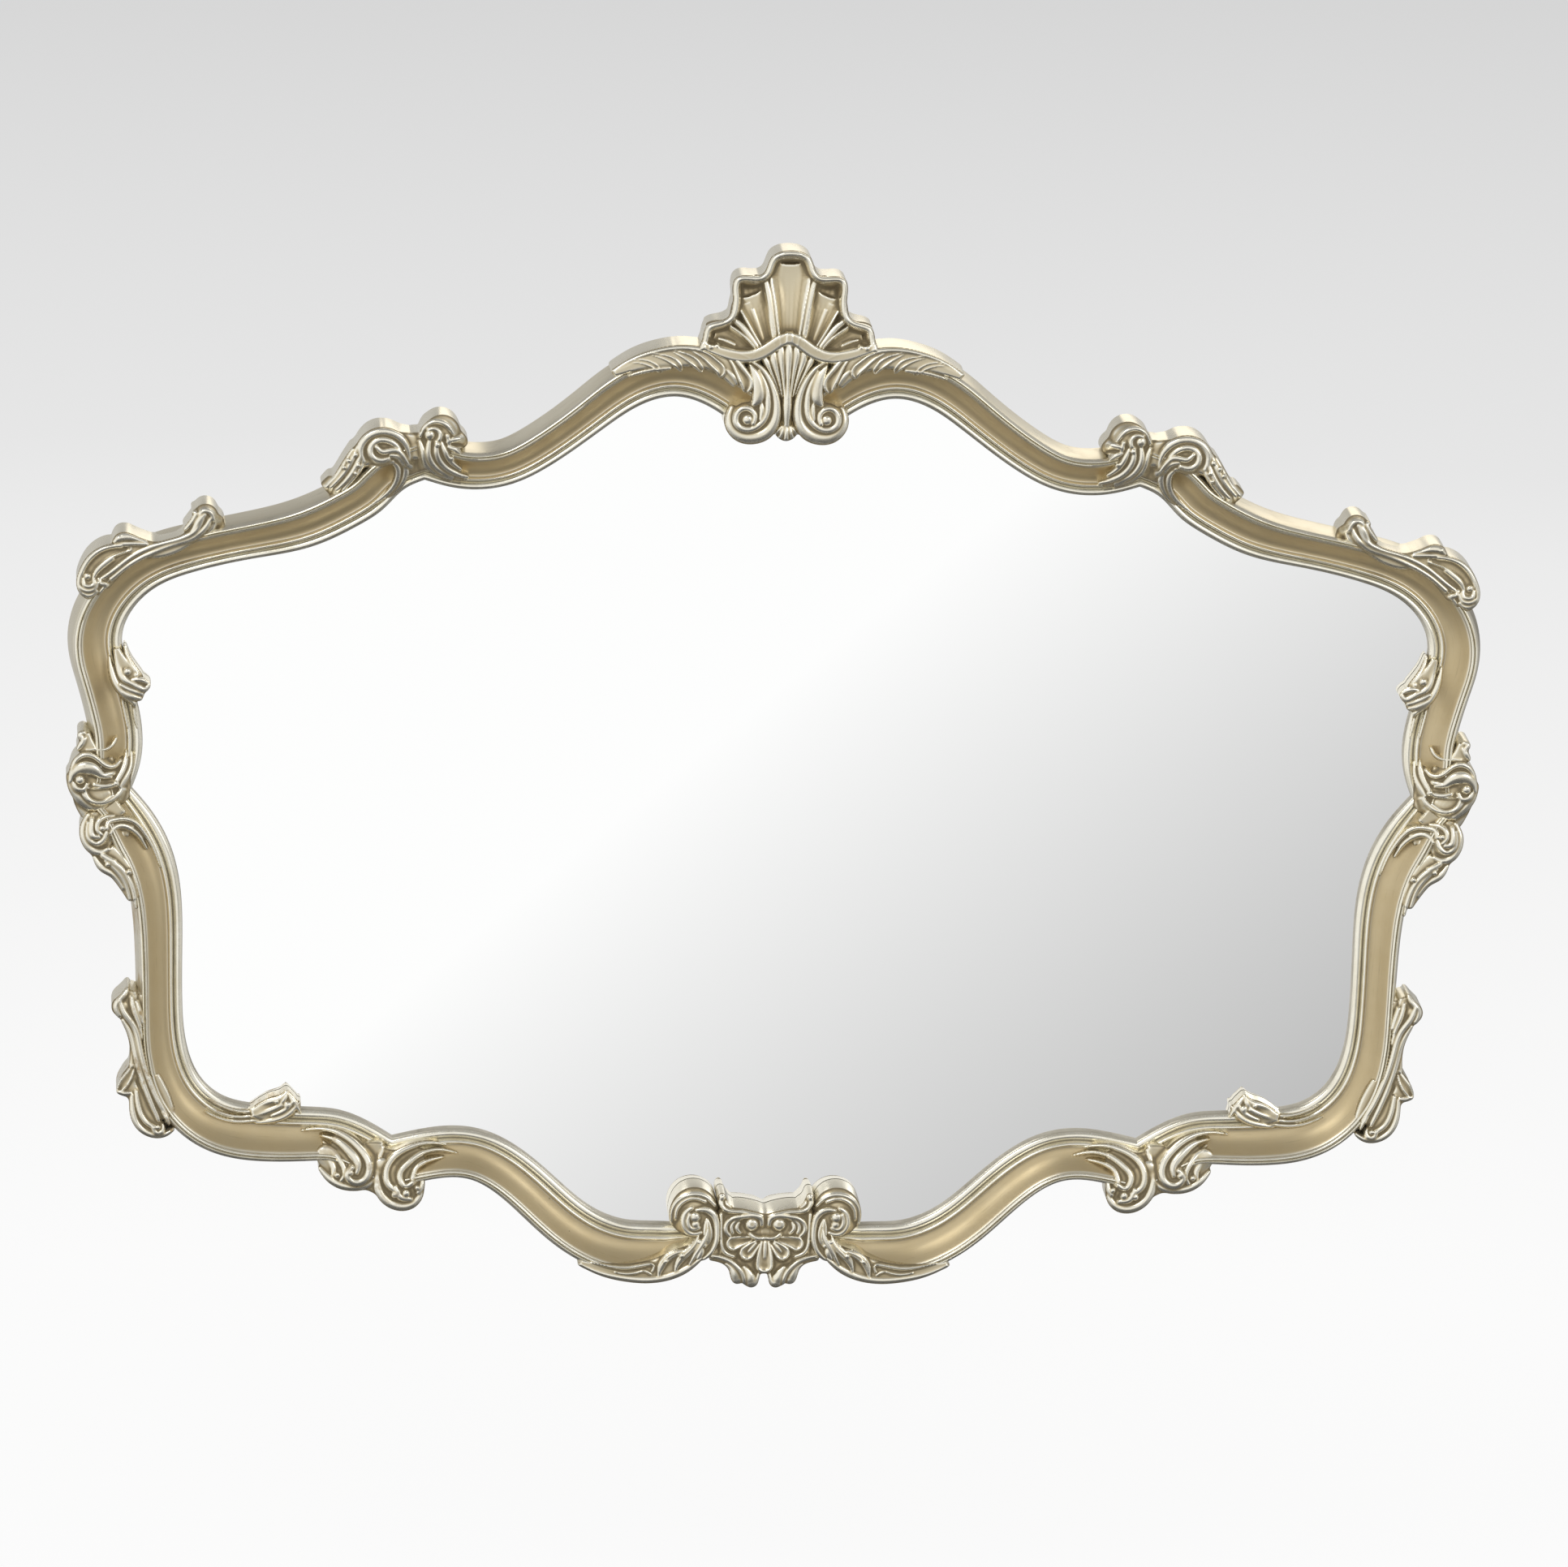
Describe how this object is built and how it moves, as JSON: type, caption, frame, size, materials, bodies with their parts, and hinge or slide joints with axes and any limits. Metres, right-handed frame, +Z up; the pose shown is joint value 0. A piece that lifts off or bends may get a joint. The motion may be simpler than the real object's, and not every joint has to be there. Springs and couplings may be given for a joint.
{
  "type": "wall mirror",
  "caption": "Rococo overmantel wall mirror: scalloped glass in a mitred silvered moulding with a shell crest, scrolls and leaves, and hangers behind.",
  "frame": {"origin": "middle of the line between the two hanger eyes, on the wall plane", "axes": "+X to the right seen from the front, +Y into the wall, +Z up"},
  "size_m": [1.2176, 0.044, 0.919],
  "materials": {
    "moulding": "champagne silver leaf with a brown glaze, glossy, worn at the edges",
    "carving": "carved ornament in the same silver leaf, brighter on its high places",
    "glass": "plain silvered glass, unbevelled",
    "board": "plain hardboard",
    "hardware": "zinc plated",
    "bumpers": "matt"
  },
  "bodies": {
    "frame": {"top_rail_right": "moulding", "top_rail_left": "moulding", "shoulder_rail_right": "moulding", "shoulder_rail_left": "moulding", "lower_rail_right": "moulding", "lower_rail_left": "moulding", "bottom_rail_right": "moulding", "bottom_rail_left": "moulding", "crest_scroll_right": "carving", "crest_scroll_left": "carving", "crest_leaf_right": "carving", "crest_leaf_left": "carving", "upper_clasp_right": "carving", "upper_clasp_left": "carving", "shoulder_leaf_right": "carving", "shoulder_leaf_left": "carving", "side_leaf_right": "carving", "side_leaf_left": "carving", "side_volute_right": "carving", "side_volute_left": "carving", "side_scroll_right": "carving", "side_scroll_left": "carving", "lower_leaf_right": "carving", "lower_leaf_left": "carving", "sill_leaf_right": "carving", "sill_leaf_left": "carving", "bottom_clasp_right": "carving", "bottom_clasp_left": "carving", "bottom_scroll_right": "carving", "bottom_scroll_left": "carving", "bottom_leaf_right": "carving", "bottom_leaf_left": "carving", "crest_shell": "carving", "crest_palmette": "carving", "bottom_cartouche": "carving", "mirror_glass": "glass", "backing_board": "board", "hanger_strap_right": "hardware", "hanger_strap_left": "hardware", "hanger_screws": "hardware", "button_screws": "hardware", "wall_bumpers": "bumpers"},
    "ring_right": {"hanger_ring_right": "hardware"},
    "ring_left": {"hanger_ring_left": "hardware"},
    "top_button_right": {"top_turn_button_right": "hardware"},
    "top_button_left": {"top_turn_button_left": "hardware"},
    "shoulder_button_right": {"shoulder_turn_button_right": "hardware"},
    "shoulder_button_left": {"shoulder_turn_button_left": "hardware"},
    "lower_button_right": {"lower_turn_button_right": "hardware"},
    "lower_button_left": {"lower_turn_button_left": "hardware"},
    "bottom_button_right": {"bottom_turn_button_right": "hardware"},
    "bottom_button_left": {"bottom_turn_button_left": "hardware"}
  },
  "joints": [
    {"name": "ring_right_swing", "type": "hinge", "parent": "frame", "child": "ring_right", "pos_m": [0.58125, -0.00335, 0], "axis": [1, 0, 0], "range_deg": [0, 180]},
    {"name": "ring_left_swing", "type": "hinge", "parent": "frame", "child": "ring_left", "pos_m": [-0.58125, -0.00335, 0], "axis": [1, 0, 0], "range_deg": [0, 180]},
    {"name": "top_button_right_turn", "type": "hinge", "parent": "frame", "child": "top_button_right", "pos_m": [0.19059, -0.0049, 0.19766], "axis": [0, 1, 0], "continuous": true},
    {"name": "top_button_left_turn", "type": "hinge", "parent": "frame", "child": "top_button_left", "pos_m": [-0.19059, -0.0049, 0.19766], "axis": [0, 1, 0], "continuous": true},
    {"name": "shoulder_button_right_turn", "type": "hinge", "parent": "frame", "child": "shoulder_button_right", "pos_m": [0.42282, -0.0049, 0.11028], "axis": [0, 1, 0], "continuous": true},
    {"name": "shoulder_button_left_turn", "type": "hinge", "parent": "frame", "child": "shoulder_button_left", "pos_m": [-0.42282, -0.0049, 0.11028], "axis": [0, 1, 0], "continuous": true},
    {"name": "lower_button_right_turn", "type": "hinge", "parent": "frame", "child": "lower_button_right", "pos_m": [0.52407, -0.0049, -0.2566], "axis": [0, 1, 0], "continuous": true},
    {"name": "lower_button_left_turn", "type": "hinge", "parent": "frame", "child": "lower_button_left", "pos_m": [-0.52407, -0.0049, -0.2566], "axis": [0, 1, 0], "continuous": true},
    {"name": "bottom_button_right_turn", "type": "hinge", "parent": "frame", "child": "bottom_button_right", "pos_m": [0.1793, -0.0049, -0.4871], "axis": [0, 1, 0], "continuous": true},
    {"name": "bottom_button_left_turn", "type": "hinge", "parent": "frame", "child": "bottom_button_left", "pos_m": [-0.1793, -0.0049, -0.4871], "axis": [0, 1, 0], "continuous": true}
  ]
}
